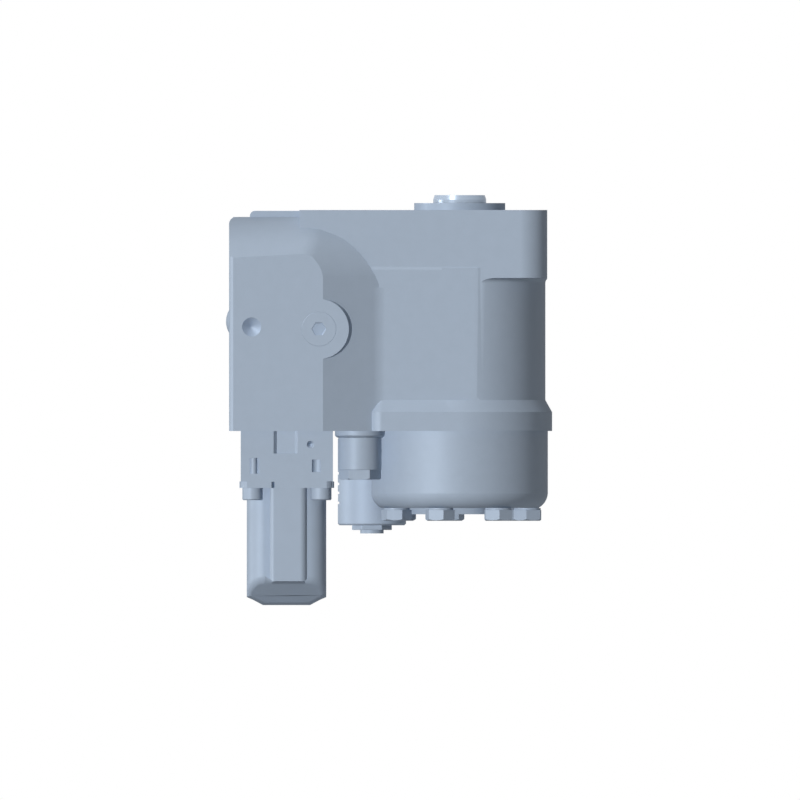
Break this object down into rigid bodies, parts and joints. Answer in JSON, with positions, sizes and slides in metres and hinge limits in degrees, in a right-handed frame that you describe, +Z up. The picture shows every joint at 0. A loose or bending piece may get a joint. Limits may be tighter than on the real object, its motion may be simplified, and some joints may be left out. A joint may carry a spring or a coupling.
{
  "type": "steering valve",
  "caption": "Orbital hydraulic steering unit with a rotary valve and gear set, beside an electro-hydraulic block with pilot unit, solenoid and cartridge.",
  "frame": {"origin": "middle of the mounting face on the steering axis", "axes": "+Z up along the steering axis towards the column, +X right as seen from the front, +Y towards the port face"},
  "size_m": [0.1598, 0.1306, 0.2009],
  "materials": {
    "casting": "satin paint over cast iron",
    "block": "satin, machined",
    "painted_steel": "satin paint, turned",
    "machined_steel": "ground",
    "fastener": "plated, satin",
    "spring_steel": "dark spring steel",
    "seal": "matte",
    "unit_cover": "satin, die cast",
    "coil_case": "moulded over the winding",
    "connector": "matte",
    "copper": "wound or tinned",
    "board": "coated"
  },
  "bodies": {
    "housing": {"body": "casting", "dust_seal": "seal", "shaft_seal": "seal", "bearing_race_upper": "machined_steel", "needle_cage": "machined_steel", "distributor_plate": "painted_steel", "gear_ring": "painted_steel", "end_cover": "painted_steel", "cover_seals": "seal", "cover_screws": "fastener", "screw_washers": "fastener", "check_bushing": "machined_steel", "relief_plug": "fastener", "relief_seat": "machined_steel", "relief_spring": "spring_steel", "side_plug": "fastener", "top_plug": "fastener", "control_spring_upper": "spring_steel", "control_spring_lower": "spring_steel", "spring_seat": "machined_steel", "cartridge_body": "fastener", "cartridge_seat": "machined_steel", "cartridge_spring": "spring_steel", "solenoid_tube": "machined_steel", "plunger_spring": "spring_steel", "coil": "coil_case", "coil_nut": "fastener", "coil_connector": "connector", "pilot_block": "block", "pilot_screws": "fastener", "sensor_tube": "machined_steel", "sensor_coil": "copper", "electronics_housing": "unit_cover", "circuit_board": "board", "connectors": "connector", "connector_pins": "copper"},
    "sleeve_group": {"sleeve": "machined_steel", "cross_pin": "machined_steel", "centring_springs": "spring_steel", "bearing_race_lower": "machined_steel"},
    "spool_group": {"spool": "machined_steel"},
    "spacer": {"spacer_disc": "machined_steel"},
    "star": {"gear_star": "machined_steel"},
    "cardan": {"cardan_shaft": "machined_steel"},
    "control": {"control_spool": "machined_steel", "position_rod": "machined_steel"},
    "relief": {"relief_poppet": "machined_steel"},
    "cartridge": {"cartridge_poppet": "machined_steel"},
    "plunger": {"solenoid_plunger": "machined_steel"},
    "ball": {"check_ball": "machined_steel"}
  },
  "joints": [
    {"name": "sleeve_spin", "type": "hinge", "parent": "housing", "child": "sleeve_group", "pos_m": [0, 0, -0.06], "axis": [0, 0, 1], "continuous": true},
    {"name": "spool_turn", "type": "hinge", "parent": "sleeve_group", "child": "spool_group", "pos_m": [0, 0, -0.06], "axis": [0, 0, 1], "range_deg": [-10, 10], "stiffness_Nm_per_rad": 1},
    {"name": "spacer_orbit", "type": "hinge", "parent": "housing", "child": "spacer", "pos_m": [0, 0, -0.1372], "axis": [0, 0, 1], "continuous": true},
    {"name": "star_spin", "type": "hinge", "parent": "spacer", "child": "star", "pos_m": [-0.00279, -0.00111, -0.1268], "axis": [0, 0, 1], "continuous": true},
    {"name": "cardan_spin", "type": "hinge", "parent": "spacer", "child": "cardan", "pos_m": [0, 0, -0.062], "axis": [0.043, 0.0171, 0.9989], "continuous": true},
    {"name": "control_slide", "type": "slide", "parent": "housing", "child": "control", "axis": [0, 0, 1], "range_m": [-0.005, 0.005], "stiffness_N_per_m": 4000, "deforming": ["control_spring_upper", "control_spring_lower"]},
    {"name": "relief_slide", "type": "slide", "parent": "housing", "child": "relief", "axis": [0, -1, 0], "range_m": [0, 0.002], "stiffness_N_per_m": 20000, "springref_m": -0.002, "deforming": ["relief_spring"]},
    {"name": "cartridge_slide", "type": "slide", "parent": "housing", "child": "cartridge", "axis": [0, 0, -1], "range_m": [0, 0.002], "stiffness_N_per_m": 8000, "springref_m": -0.002, "deforming": ["cartridge_spring"]},
    {"name": "plunger_slide", "type": "slide", "parent": "housing", "child": "plunger", "axis": [0, 0, -1], "range_m": [0, 0.002], "stiffness_N_per_m": 1500, "springref_m": -0.002, "deforming": ["plunger_spring"]},
    {"name": "ball_lift", "type": "slide", "parent": "housing", "child": "ball", "axis": [0, 0, 1], "range_m": [0, 0.004]}
  ],
  "couplings": [
    {"joint": "spacer_orbit", "follows": "sleeve_spin", "ratio": -6},
    {"joint": "star_spin", "follows": "sleeve_spin", "ratio": 7},
    {"joint": "cardan_spin", "follows": "sleeve_spin", "ratio": 7}
  ]
}
